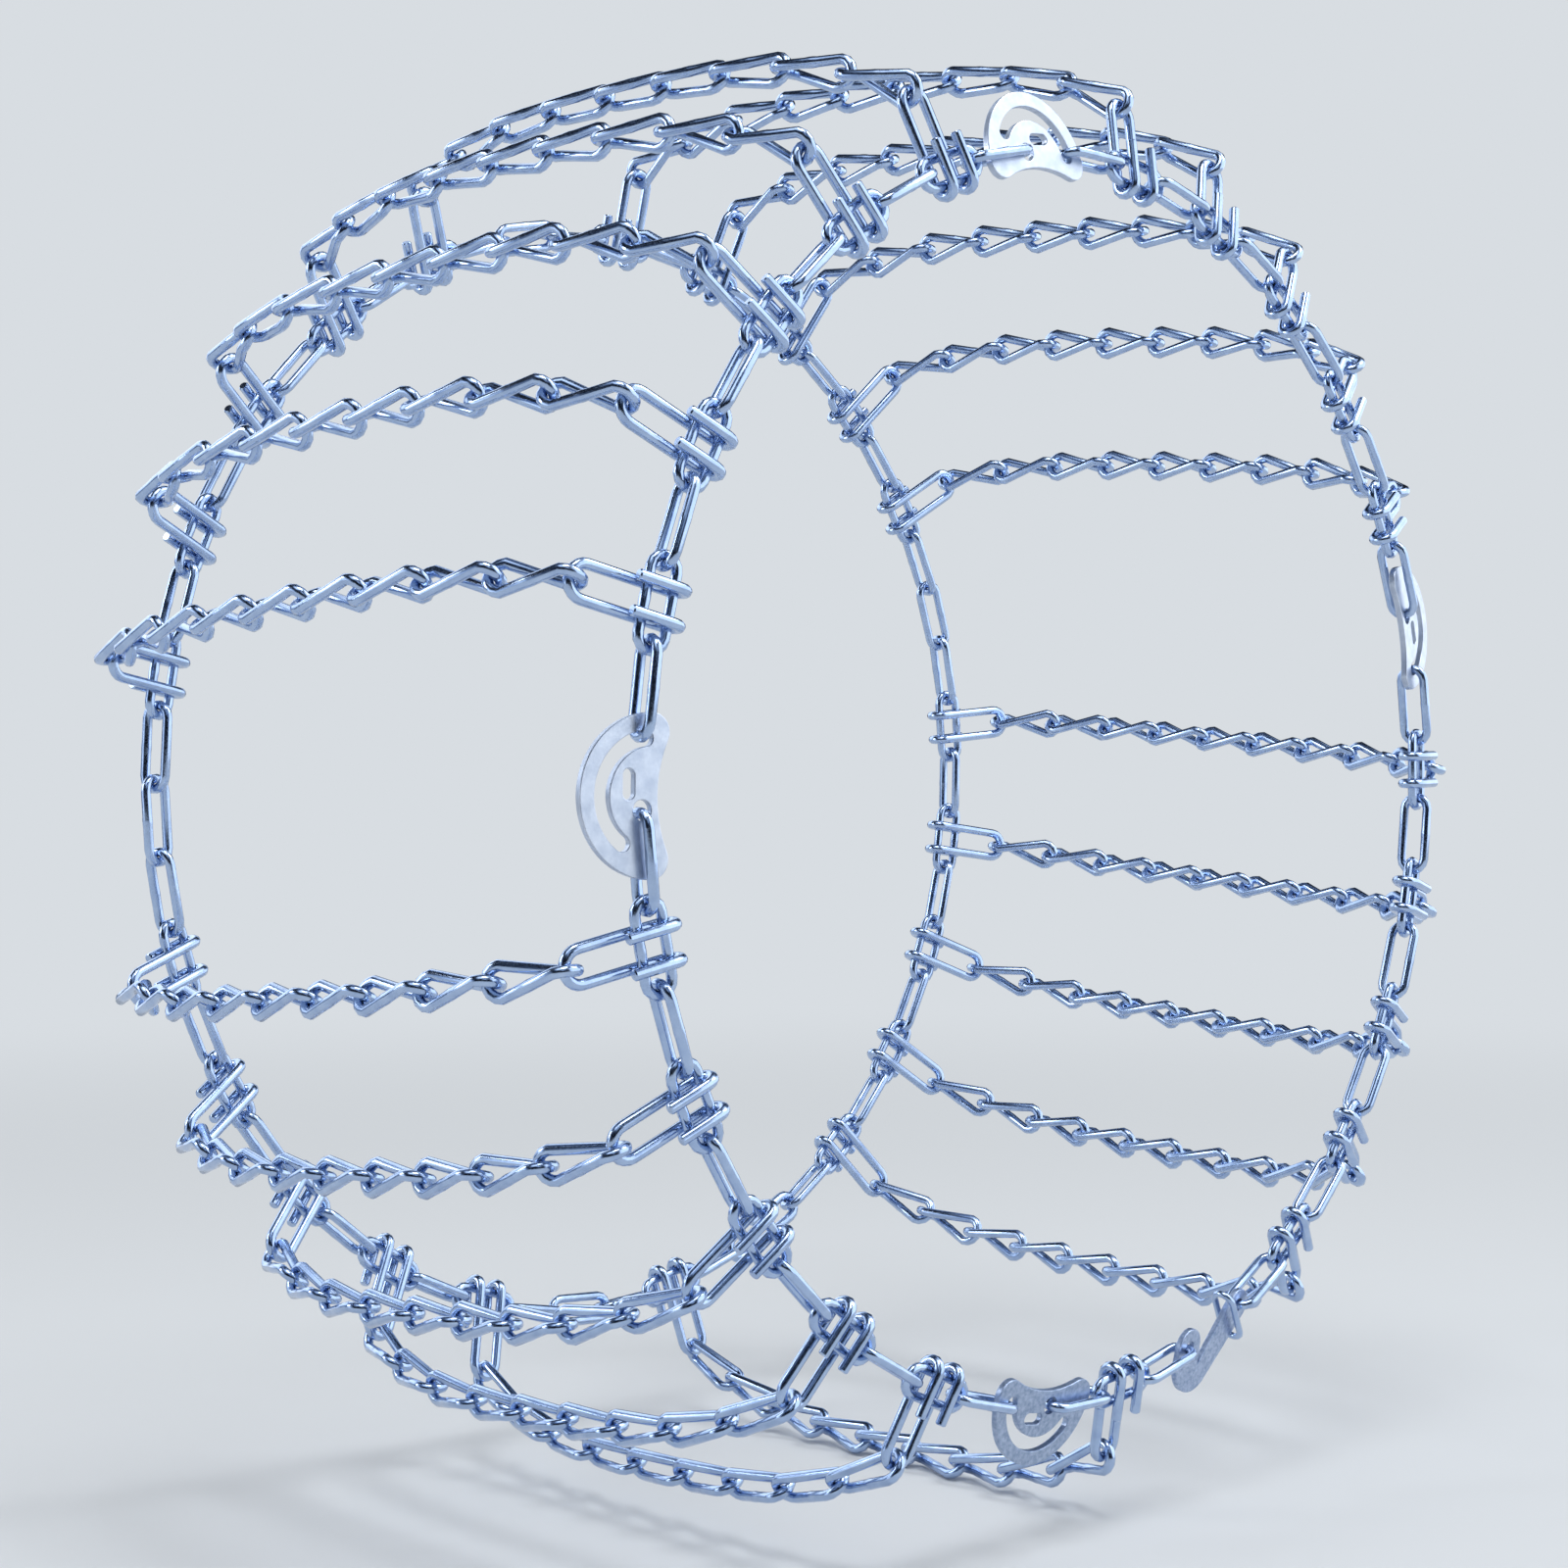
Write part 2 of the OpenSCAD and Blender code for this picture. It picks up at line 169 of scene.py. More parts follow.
@dataclass(frozen=True)
class ZincFinish:
    """Zinc on steel, with a faint blue tint.

    The tint deepens at every bounce between wires, so gaps look blue rather than grey.
    """

    name: str
    slot: str
    low: str
    high: str
    bloom_mm: float
    roughness_low: float
    roughness_high: float
    grain_mm: float
    grain_depth_mm: float
    coat: float
    bloom_detail: float = 3.0
    bloom_roughness: float = 0.55
    grain_detail: float = 2.0
    noise_low: float = 0.3
    noise_high: float = 0.7
    bump_strength: float = 0.5
    coat_roughness: float = 0.12

    def material(self) -> bpy.types.Material:
        """Builds the finish's node material.

        Returns:
            The material.
        """
        material = bpy.data.materials.new(self.name)
        material.use_nodes = True
        tree = material.node_tree
        tree.nodes.clear()
        place = add_node(tree, "ShaderNodeTexCoord").outputs["Object"]
        bloom = add_node(
            tree,
            "ShaderNodeTexNoise",
            {
                "Vector": place,
                "Scale": 1 / (self.bloom_mm * MM),
                "Detail": self.bloom_detail,
                "Roughness": self.bloom_roughness,
            },
        ).outputs["Fac"]
        colour = add_ramp(tree, bloom, [(self.noise_low, self.low), (self.noise_high, self.high)])
        grain = add_node(
            tree,
            "ShaderNodeTexNoise",
            {"Vector": place, "Scale": 1 / (self.grain_mm * MM), "Detail": self.grain_detail},
        ).outputs["Fac"]
        rough = add_node(
            tree,
            "ShaderNodeMapRange",
            {
                "Value": grain,
                "From Min": self.noise_low,
                "From Max": self.noise_high,
                "To Min": self.roughness_low,
                "To Max": self.roughness_high,
            },
        ).outputs["Result"]
        bump = add_node(
            tree,
            "ShaderNodeBump",
            {"Height": grain, "Strength": self.bump_strength, "Distance": self.grain_depth_mm * MM},
        ).outputs["Normal"]
        shader = add_node(
            tree,
            "ShaderNodeBsdfPrincipled",
            {
                "Base Color": colour,
                "Metallic": 1.0,
                "Roughness": rough,
                "Normal": bump,
                "Coat Weight": self.coat,
                "Coat Roughness": self.coat_roughness,
            },
        )
        add_node(tree, "ShaderNodeOutputMaterial", {"Surface": shader.outputs["BSDF"]})
        return material


# Wire of the links and hooks: bright, with a faint bloom.
WIRE_ZINC = ZincFinish(
    name="bright_zinc_wire",
    slot="zinc_wire",
    low="#9fb5d9",
    high="#b4c8e6",
    bloom_mm=9.0,
    roughness_low=0.14,
    roughness_high=0.26,
    grain_mm=1.1,
    grain_depth_mm=0.02,
    coat=0.35,
)
# Top, left and right cams: much paler than the wire, and less shiny.
CAM_ZINC = ZincFinish(
    name="tumbled_zinc_plate",
    slot="cam_plate",
    low="#b6c0d1",
    high="#ced6e3",
    bloom_mm=7.0,
    roughness_low=0.3,
    roughness_high=0.42,
    grain_mm=1.2,
    grain_depth_mm=0.03,
    coat=0.1,
)
# Bottom cam: painted shade, a darker, mottled blue grey than the other three cams, and rougher.
BOTTOM_CAM_PAINTED_SHADE = ZincFinish(
    name="painted_shade_zinc_plate",
    slot="cam_plate",
    low="#8b9dba",
    high="#b6c4db",
    bloom_mm=2.6,
    roughness_low=0.32,
    roughness_high=0.5,
    grain_mm=0.8,
    grain_depth_mm=0.05,
    coat=0.1,
)
# Lever: greyer than the pale cams and finely mottled.
LEVER_ZINC = ZincFinish(
    name="spangled_zinc_plate",
    slot="lever_plate",
    low="#8b9ebf",
    high="#bccae2",
    bloom_mm=2.4,
    roughness_low=0.3,
    roughness_high=0.5,
    grain_mm=0.9,
    grain_depth_mm=0.05,
    coat=0.1,
)


# ------------------------------------------------------------------- layout


class Side(Enum):
    """The two side rings of the net."""

    OUTER = "outer"
    INNER = "inner"


@dataclass(frozen=True)
class Net:
    """Sizes of the net in millimetres and degrees, and the places that follow."""

    crown_radius: float = 420.0
    net_turn: float = 1.0
    inner_lag: float = 4.8
    link_gap: float = 0.4
    side_wire_d: float = 5.6
    side_link_play: float = 3.8
    side_lean: float = 78.0
    cross_wire_d: float = 6.0
    cross_link_play: float = 4.0
    cross_pitch: float = 42.3
    hook_wire_d: float = 6.0
    hook_reach: float = 46.5
    prong_past_link: float = 6.5
    hook_play: float = 3.0
    hook_seat_gap: float = 0.3
    lever_length: float = 60.0
    stations: int = 26
    cam_stations: tuple[int, ...] = (0, 6, 12, 20)
    lever_station: int = 14
    turn_station: int = 6
    shoulder_tilts: tuple[float, ...] = (1.5, 5.0, 13.0, 22.0)
    link_rolls: tuple[float, ...] = (76.0, 61.0, 50.0, 45.0, 45.0, 45.0, 40.0, 29.0, 14.0)

    @property
    def last(self) -> int:
        """Number of twisted links in a cross chain."""
        return len(self.link_rolls)

    @property
    def side_link_w(self) -> float:
        """Width of a side link between the middles of its bars."""
        return 2 * self.side_wire_d + self.side_link_play

    @property
    def cross_link_w(self) -> float:
        """Width of a twisted link between the middles of its bars."""
        return 2 * self.cross_wire_d + self.cross_link_play

    @property
    def hook_offset(self) -> float:
        """Distance of a hook's wires from the plane of its side link."""
        return (self.side_wire_d + self.hook_wire_d) / 2 + self.hook_seat_gap

    @property
    def lag_step(self) -> float:
        """Lag that each twisted link adds, in degrees."""
        return self.inner_lag / self.last

    @property
    def level_pitch(self) -> float:
        """Pitch of a twisted link, less its run round the tread."""
        step = 2 * self.crown_radius * math.sin(math.radians(self.lag_step / 2))
        return math.sqrt(self.cross_pitch**2 - step**2)

    def plane_joint(self, i: int) -> Vector:
        """Finds a cross chain's joint in the plane of the axle.

        Args:
            i: Number of the joint, from the outer side.

        Returns:
            Place along the axle and radius.
        """
        middle = self.last // 2
        steps = abs(2 * i - self.last) // 2
        point = Vector((self.level_pitch / 2, self.crown_radius))
        for tilt in self.shoulder_tilts[:steps]:
            a = math.radians(tilt)
            point += self.level_pitch * Vector((math.cos(a), -math.sin(a)))
        return Vector((-point.x, point.y)) if i <= middle else point

    def joint(self, i: int) -> Vector:
        """Finds a cross chain's joint with its lag, for a chain at the wheel's left.

        Args:
            i: Number of the joint, from the outer side.

        Returns:
            Place in millimetres.
        """
        flat = self.plane_joint(i)
        lag = math.radians(self.joint_lag(i))
        return Vector((-flat.y * math.cos(lag), flat.x, -flat.y * math.sin(lag)))

    def joint_lag(self, i: int) -> float:
        """Gives the lag of a cross chain's joint.

        Args:
            i: Number of the joint, from the outer side.

        Returns:
            Angle in degrees.
        """
        return self.lag_step * i

    @property
    def lean(self) -> Vector:
        """Direction of the flat side links from the hub to the tread."""
        a = math.radians(self.side_lean)
        return Vector((math.cos(a), math.sin(a)))

    @property
    def ring_place(self) -> Vector:
        """Place along the axle and radius of the outer ring's flat links."""
        lean = self.lean
        normal = Vector((-lean.y, lean.x))
        first, second = self.plane_joint(0), self.plane_joint(1)
        bend = first + (self.hook_wire_d + self.link_gap) / 2 * (second - first).normalized()
        return bend - self.hook_reach * lean + self.hook_offset * normal

    @property
    def ring_mid_r(self) -> float:
        """Radius of the middle of the flat side links."""
        return self.ring_place.y

    @property
    def lever_angle(self) -> float:
        """Angle of the ring that the lever takes, in degrees."""
        return math.degrees(2 * math.asin(self.lever_length / 2 / self.ring_mid_r))

    @property
    def link_angle(self) -> float:
        """Angle of the ring that a side link takes, in degrees."""
        return (360 - self.lever_angle) / (2 * self.stations - 1)

    @property
    def corner_r(self) -> float:
        """Radius of the joints between side links."""
        return self.ring_mid_r / math.cos(math.radians(self.link_angle / 2))

    @property
    def side_pitch(self) -> float:
        """Pitch of a side link."""
        return 2 * self.corner_r * math.sin(math.radians(self.link_angle / 2))

    @property
    def lever_span(self) -> float:
        """Pitch of the lever between its neighbours."""
        return 2 * self.corner_r * math.sin(math.radians(self.lever_angle / 2))

    @property
    def lever_mid_r(self) -> float:
        """Radius of the middle of the lever."""
        return self.corner_r * math.cos(math.radians(self.lever_angle / 2))

    @property
    def leg_offset(self) -> float:
        """Half the gap between the legs of a hook."""
        return self.side_pitch / 2 - self.side_wire_d - self.link_gap - self.hook_wire_d / 2 - self.hook_play

    def wire_room(self, thick: float) -> float:
        """Gives the room that a link's end needs past the wall of a plate.

        Args:
            thick: Thickness of the plate in millimetres.

        Returns:
            Length in millimetres.
        """
        width = self.side_link_w
        return self.link_gap + (width - math.sqrt(width**2 - thick**2)) / 2

    def station_angle(self, k: int) -> float:
        """Gives the angle of a station from the wheel's left side upwards.

        Args:
            k: Number of the station.

        Returns:
            Angle in degrees.
        """
        extra = self.lever_angle - self.link_angle
        past = 0.5 if k == self.lever_station else float(k > self.lever_station)
        return self.net_turn + 2 * self.link_angle * (self.turn_station - k) - past * extra

    def connector_angle(self, k: int) -> float:
        """Gives the angle of the connecting link that follows a station.

        Args:
            k: Number of the station.

        Returns:
            Angle in degrees.
        """
        if k == self.lever_station:
            return self.station_angle(k) - (self.lever_angle + self.link_angle) / 2
        return self.station_angle(k) - self.link_angle

    @property
    def chain_stations(self) -> list[int]:
        """Stations that hold a cross chain."""
        free = {*self.cam_stations, self.lever_station}
        return [k for k in range(self.stations) if k not in free]

    def on_ring(self, angle: float, side: Side = Side.OUTER, mid_r: float | None = None) -> Matrix:
        """Gives the place of a link on a side ring.

        Args:
            angle: Angle of the link in degrees.
            side: Outer or inner ring.
            mid_r: Radius, where it isn't that of the flat links.

        Returns:
            Matrix in metres: X runs along the chain, Y over the sidewall towards
            the tread, Z away from the tire.
        """
        lean = self.lean
        radius = self.ring_mid_r if mid_r is None else mid_r
        origin = Vector((-radius, self.ring_place.x, 0)) * MM
        columns = [Vector((0, 0, 1)), Vector((-lean.y, lean.x, 0)), Vector((-lean.x, -lean.y, 0))]
        place = Matrix.Identity(4)
        for i, column in enumerate([*columns, origin]):
            place.col[i][:3] = column
        turned = Matrix.Rotation(math.radians(angle), 4, "Y") @ place
        if side is Side.OUTER:
            return turned
        lagging = Matrix.Rotation(math.radians(-self.inner_lag), 4, "Y")
        mirrored = Matrix.Scale(-1, 4, (0, 1, 0))
        return lagging @ mirrored @ turned

    def twisted_place(self, angle: float, i: int) -> Matrix:
        """Gives the place of a twisted link.

        Args:
            angle: Angle of the cross chain's station in degrees.
            i: Number of the link from the outer side.

        Returns:
            Matrix in metres with X along the link.
        """
        a, b = self.joint(i), self.joint(i + 1)
        lag = math.radians((self.joint_lag(i) + self.joint_lag(i + 1)) / 2)
        ex = (b - a).normalized()
        ez = Vector((-math.sin(lag), 0, math.cos(lag))).cross(ex).normalized()
        place = Matrix.Identity(4)
        for column, vector in enumerate([ex, ez.cross(ex), ez, (a + b) / 2 * MM]):
            place.col[column][:3] = vector
        roll = Matrix.Rotation(math.radians(180 - self.link_rolls[i]), 4, "X")
        return Matrix.Rotation(math.radians(angle), 4, "Y") @ place @ roll


# --------------------------------------------------------------------- wire


@dataclass(frozen=True)
class WirePoint:
    """A point of a wire's path and the wire's thickness there, as a share."""

    place: Vector
    share: float = 1.0


@dataclass
class Wire:
    """Round wire, drawn out along a path and closed to a link or cut off."""

    diameter: float
    sides: int = 12

    def draw(self, path: Sequence[WirePoint], closed: bool) -> bpy.types.Mesh:
        """Draws the wire.

        Args:
            path: Points in millimetres.
            closed: True for a welded link, False for cut ends.

        Returns:
            The mesh, in metres.
        """
        points = [p.place * MM for p in path]
        tangents = self._tangents(points, closed)
        turns = [a.rotation_difference(b) for a, b in zip(tangents, tangents[1:] + tangents[:1])]
        slip = self._slip(tangents, turns) / len(points) if closed else 0.0
        bm = bmesh.new()
        ring = bmesh.ops.create_circle(bm, cap_ends=False, segments=self.sides, radius=self.diameter / 2 * MM)
        verts = ring["verts"]
        first = list({e for v in verts for e in v.link_edges})
        start = Matrix.Translation(points[0]) @ tangents[0].to_track_quat("Z", "Y").to_matrix().to_4x4()
        bmesh.ops.transform(bm, matrix=start, verts=verts)
        self._scale(bm, verts, points[0], path[0].share)
        edges = first
        for i in range(1, len(points)):
            grown = bmesh.ops.extrude_edge_only(bm, edges=edges)["geom"]
            verts = [g for g in grown if isinstance(g, bmesh.types.BMVert)]
            fresh = set(verts)
            edges = [g for g in grown if isinstance(g, bmesh.types.BMEdge) and fresh.issuperset(g.verts)]
            turn = Quaternion(tangents[i], -slip) @ turns[i - 1]
            to_centre = Matrix.Translation(-points[i - 1])
            step = Matrix.Translation(points[i]) @ turn.to_matrix().to_4x4() @ to_centre
            bmesh.ops.transform(bm, matrix=step, verts=verts)
            self._scale(bm, verts, points[i], path[i].share / path[i - 1].share)
        if closed:
            bmesh.ops.bridge_loops(bm, edges=first + edges)
        else:
            for rim in (first, edges):
                bmesh.ops.contextual_create(bm, geom=rim)
        bmesh.ops.recalc_face_normals(bm, faces=bm.faces)
        return finish_mesh(bm, "wire")

    @staticmethod
    def _scale(
        bm: bmesh.types.BMesh, verts: Iterable[bmesh.types.BMVert], centre: Vector, share: float
    ) -> None:
        """Thins or thickens one ring of the wire about its centre.

        Args:
            bm: The wire's bmesh.
            verts: Vertices of the ring.
            centre: Middle of the ring.
            share: Factor on its thickness.
        """
        if share != 1.0:
            bmesh.ops.scale(bm, vec=(share,) * 3, space=Matrix.Translation(-centre), verts=list(verts))

    @staticmethod
    def _tangents(points: Sequence[Vector], closed: bool) -> list[Vector]:
        """Finds the direction of the wire at each point.

        Args:
            points: Path of the wire.
            closed: True where the last point joins the first.

        Returns:
            Unit vectors that halve the corners.
        """
        count = len(points)
        legs = [(points[(i + 1) % count] - points[i]).normalized() for i in range(count)]
        found = [(legs[i - 1] + legs[i]).normalized() for i in range(count)]
        if not closed:
            found[0], found[-1] = legs[0], legs[-2]
        return found

    @staticmethod
    def _slip(tangents: Sequence[Vector], turns: Sequence[Quaternion]) -> float:
        """Measures how far a closed wire's rings have slipped once round.

        Args:
            tangents: Directions of the wire.
            turns: Turns between one direction and the next.

        Returns:
            Angle in radians.
        """
        side = tangents[0].orthogonal().normalized()
        carried = side.copy()
        for turn in turns:
            carried.rotate(turn)
        return math.atan2(side.cross(carried).dot(tangents[0]), side.dot(carried))


def finish_mesh(bm: bmesh.types.BMesh, name: str) -> bpy.types.Mesh:
    """Turns a bmesh into a mesh with smooth faces.

    Args:
        bm: The bmesh, freed here.
        name: Name of the mesh.

    Returns:
        The mesh.
    """
    mesh = bpy.data.meshes.new(name)
    for face in bm.faces:
        face.smooth = True
    bm.to_mesh(mesh)
    bm.free()
    return mesh


def gather(
    name: str, parts: Iterable[tuple[bpy.types.Mesh, Matrix]], sharp: float = 35.0
) -> bpy.types.Object:
    """Puts placed copies of meshes together as one piece.

    Args:
        name: Name of the piece.
        parts: Meshes and their places.
        sharp: Angle in degrees above which an edge stays crisp.

    Returns:
        The piece, with its place in its mesh.
    """
    bm = bmesh.new()
    for mesh, place in parts:
        before = len(bm.verts)
        bm.from_mesh(mesh)
        bm.verts.ensure_lookup_table()
        fresh = bm.verts[before:]
        bmesh.ops.transform(bm, matrix=place, verts=fresh)
        if place.determinant() < 0:
            bmesh.ops.reverse_faces(bm, faces=list({f for v in fresh for f in v.link_faces}))
    for edge in bm.edges:
        edge.smooth = edge.calc_face_angle(0.0) < math.radians(sharp)
    piece = bpy.data.objects.new(name, finish_mesh(bm, name))
    bpy.context.scene.collection.objects.link(piece)
    return piece


def arc(centre: Vector, start: Vector, axis: Vector, span: float, steps: int) -> list[WirePoint]:
    """Gives points along an arc.

    Args:
        centre: Centre of the arc.
        start: First point, from the centre.
        axis: Axis of the turn.
        span: Angle of the arc in degrees.
        steps: Number of steps.

    Returns:
        The points, both ends among them.
    """
    return [
        WirePoint(centre + Quaternion(axis, math.radians(span * i / steps)) @ start) for i in range(steps + 1)
    ]


def bar(a: Vector, b: Vector, shares: Sequence[tuple[float, float]]) -> list[WirePoint]:
    """Gives points within a straight bar.

    Args:
        a: Start of the bar.
        b: End of the bar.
        shares: Way along the bar and thickness, both as shares.

    Returns:
        The points, without the ends.
    """
    return [WirePoint(a.lerp(b, way), share) for way, share in shares]


# Swell of the butt weld in the middle of one bar of a link: way along and thickness.
WELD = ((0.40, 1.0), (0.47, 1.05), (0.53, 1.05), (0.60, 1.0))
X_AXIS = Vector((1, 0, 0))
Y_AXIS = Vector((0, 1, 0))
Z_AXIS = Vector((0, 0, 1))


@dataclass
class LinkShapes:
    """Shapes of the bent wires, each drawn once and then placed many times."""

    net: Net
    bend_steps: int = 7
    turn_steps: int = 10
    chamfer_mm: float = 0.7
    prong_tip: float = 0.78

    def flat_link(self, pitch: float, width: float, diameter: float) -> bpy.types.Mesh:
        """Draws a flat oval link along X.

        Args:
            pitch: Length of chain that the link adds.
            width: Distance between the middles of its bars.
            diameter: Diameter of the wire.

        Returns:
            The mesh.
        """
        half = (pitch + diameter + self.net.link_gap - width) / 2
        r = width / 2
        right, left = Vector((half, 0, 0)), Vector((-half, 0, 0))
        path = arc(right, -r * Y_AXIS, Z_AXIS, 180, self.bend_steps)
        path += bar(right + r * Y_AXIS, left + r * Y_AXIS, WELD)
        path += arc(left, r * Y_AXIS, Z_AXIS, 180, self.bend_steps)
        return Wire(diameter).draw(path, closed=True)

    def twisted_link(self) -> bpy.types.Mesh:
        """Draws a link whose far end is turned a quarter about X.

        Returns:
            The mesh.
        """
        net = self.net
        d = net.cross_wire_d
        half = (net.cross_pitch + d + net.link_gap - net.cross_link_w) / 2
        r = net.cross_link_w / 2
        right, left = Vector((half, 0, 0)), Vector((-half, 0, 0))
        path = arc(left, r * Y_AXIS, Z_AXIS, 180, self.bend_steps)
        path += arc(right, r * Z_AXIS, Y_AXIS, 180, self.bend_steps)
        path += bar(path[-1].place, path[0].place, WELD)
        return Wire(d).draw(path, closed=True)

    def hook(self) -> bpy.types.Mesh:
        """Draws a cross-chain hook: a U of wire with its ends bent over and cut.

        Returns:
            The mesh.
        """
        net = self.net
        x, z = net.leg_offset, net.hook_offset
        edge = net.side_link_w / 2
        prong = edge + net.side_wire_d / 2 + net.prong_past_link
        bend = net.hook_reach - x
        tip = [
            WirePoint(Vector((x, prong, z)), self.prong_tip),
            WirePoint(Vector((x, prong - self.chamfer_mm, z))),
            WirePoint(Vector((x, 0, z))),
        ]
        wrap = arc(Vector((x, -edge, 0)), z * Z_AXIS, X_AXIS, 180, self.bend_steps)
        leg = [WirePoint(Vector((x, 0, -z)))]
        half = tip + wrap + leg
        turn = arc(Vector((0, bend, -z)), x * X_AXIS, Z_AXIS, 180, self.turn_steps)
        other = [WirePoint(Vector((-p.place.x, p.place.y, p.place.z)), p.share) for p in reversed(half)]
        return Wire(net.hook_wire_d).draw(half + turn + other, closed=False)


# ------------------------------------------------------------- sub-assemblies


@dataclass
class Dresser:
    """Puts a finished piece on its body in the place of its solid."""

    materials: dict[str, bpy.types.Material] = field(default_factory=dict)

    def dress(self, piece: bpy.types.Object, finish: ZincFinish, body: str, node: str) -> None:
        """Gives a piece its finish and its place in the model.

        Args:
            piece: The piece.
            finish: Its finish.
            body: Body that carries it.
            node: Solid that it stands for.
        """
        if finish.name not in self.materials:
            self.materials[finish.name] = finish.material()
        piece.data.materials.clear()
        piece.data.materials.append(self.materials[finish.name])
        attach(piece, body)
        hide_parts(node)
        LOG.info("%s: %d faces on %s", piece.name, len(piece.data.polygons), body)


@dataclass
class SideChains:
    """The outer and the inner side chain, in stretches between the plates."""

    net: Net
    shapes: LinkShapes
    dresser: Dresser
    outer_runs: tuple[tuple[int, int], ...] = ((1, 5), (7, 11), (13, 13), (15, 19), (21, 25))
    inner_runs: tuple[tuple[int, int], ...] = ((0, 5), (6, 11), (12, 13), (15, 19), (20, 25))
    inner_hook_wire_d: float = 6.4
    inner_hook_mouth: float = 9.0
    inner_mouth_shift: float = 12.0
    inner_mouth_tip: float = 0.8

    def build(self) -> None:
        """Builds both rings and the inner hook link."""
        net = self.net
        link = self.shapes.flat_link(net.side_pitch, net.side_link_w, net.side_wire_d)
        for number, (first, last) in enumerate(self.outer_runs, 1):
            edges = range(first - 1, last + 1)
            self._stretch(f"outer_side_chain_{number}", link, Side.OUTER, edges, range(first, last + 1))
        for number, (first, last) in enumerate(self.inner_runs, 1):
            closing = [last] if last == net.lever_station - 1 else []
            edges = [(first - 1) % net.stations, *range(first, last), *closing]
            self._stretch(f"inner_side_chain_{number}", link, Side.INNER, edges, range(first, last + 1))
        self._inner_hook()

    def _stretch(
        self, node: str, link: bpy.types.Mesh, side: Side, edges: Iterable[int], flats: Iterable[int]
    ) -> None:
        """Builds one stretch of a side chain.

        Args:
            node: Solid that the stretch stands for.
            link: Mesh of a side link.
            side: Ring that it is on.
            edges: Stations that a connecting link follows.
            flats: Stations with a flat link.
        """
        net = self.net
        quarter = Matrix.Rotation(math.pi / 2, 4, "X")
        parts = [(link, net.on_ring(net.connector_angle(k), side) @ quarter) for k in edges]
        parts += [(link, net.on_ring(net.station_angle(k), side)) for k in flats]
        self.dresser.dress(gather(f"{node}_links", parts), WIRE_ZINC, "side_chains", node)

    def _inner_hook(self) -> None:
        """Builds the long link with a mouth that closes the inner ring."""
        net = self.net
        d = self.inner_hook_wire_d
        width = d + net.side_wire_d + net.side_link_play
        half = (net.lever_span + d + net.link_gap - width) / 2
        r = width / 2
        mouth_low = self.inner_mouth_shift - self.inner_hook_mouth / 2
        mouth_high = self.inner_mouth_shift + self.inner_hook_mouth / 2
        chamfer = self.shapes.chamfer_mm
        path = [
            WirePoint(Vector((mouth_high, -r, 0)), self.inner_mouth_tip),
            WirePoint(Vector((mouth_high + chamfer, -r, 0))),
            *arc(Vector((half, 0, 0)), -r * Y_AXIS, Z_AXIS, 180, self.shapes.bend_steps),
            *arc(Vector((-half, 0, 0)), r * Y_AXIS, Z_AXIS, 180, self.shapes.bend_steps),
            WirePoint(Vector((mouth_low - chamfer, -r, 0))),
            WirePoint(Vector((mouth_low, -r, 0)), self.inner_mouth_tip),
        ]
        mesh = Wire(d).draw(path, closed=False)
        place = net.on_ring(net.station_angle(net.lever_station), Side.INNER, net.lever_mid_r)
        piece = gather("inner_hook_link", [(mesh, place)])
        self.dresser.dress(piece, WIRE_ZINC, "side_chains", "inner_hook")


@dataclass
class CrossChains:
    """The twisted-link cross chains and the hooks at their ends."""

    net: Net
    shapes: LinkShapes
    dresser: Dresser

    def build(self) -> None:
        """Builds every cross chain with its two hooks."""
        net = self.net
        link = self.shapes.twisted_link()
        hook = self.shapes.hook()
        for number, k in enumerate(net.chain_stations, 1):
            body = f"cross_{number:02d}"
            angle = net.station_angle(k)
            links = [(link, net.twisted_place(angle, i)) for i in range(net.last)]
            chain = gather(f"cross_chain_{number:02d}_links", links)
            self.dresser.dress(chain, WIRE_ZINC, body, f"cross_chain_{number:02d}")
            places = [(hook, net.on_ring(angle, side)) for side in Side]
            hooks = gather(f"cross_hooks_{number:02d}_wires", places)
            self.dresser.dress(hooks, WIRE_ZINC, body, f"cross_hooks_{number:02d}")


